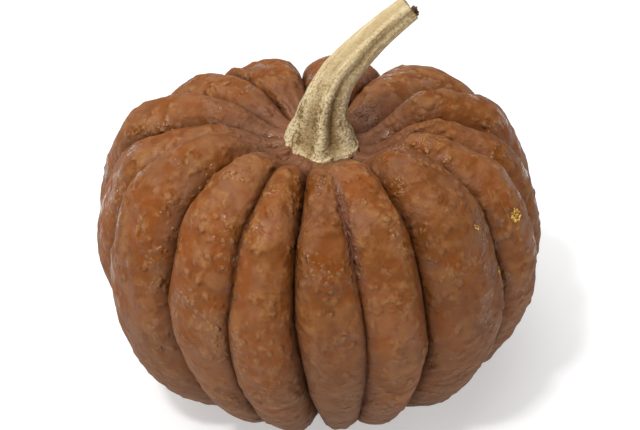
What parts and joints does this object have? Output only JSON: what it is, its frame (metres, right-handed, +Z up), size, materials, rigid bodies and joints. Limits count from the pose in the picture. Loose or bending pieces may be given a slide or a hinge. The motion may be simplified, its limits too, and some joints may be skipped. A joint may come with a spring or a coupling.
{
  "type": "ribbed winter squash",
  "caption": "Whole round winter squash with deep lobes, warty tan-orange skin and a long dry corky stem, standing on its underside.",
  "frame": {"origin": "on the floor, below the middle of the squash's outline seen from above", "axes": "+Z up, -Y towards the front, +X the side that the stem leans to"},
  "size_m": [0.1874, 0.185, 0.1643],
  "materials": {
    "skin": "warty squash skin, satin with a waxy bloom lower down",
    "cork": "dry corky squash stem, matt"
  },
  "bodies": {
    "root": {"fruit": "skin", "stem": "cork"}
  },
  "joints": []
}
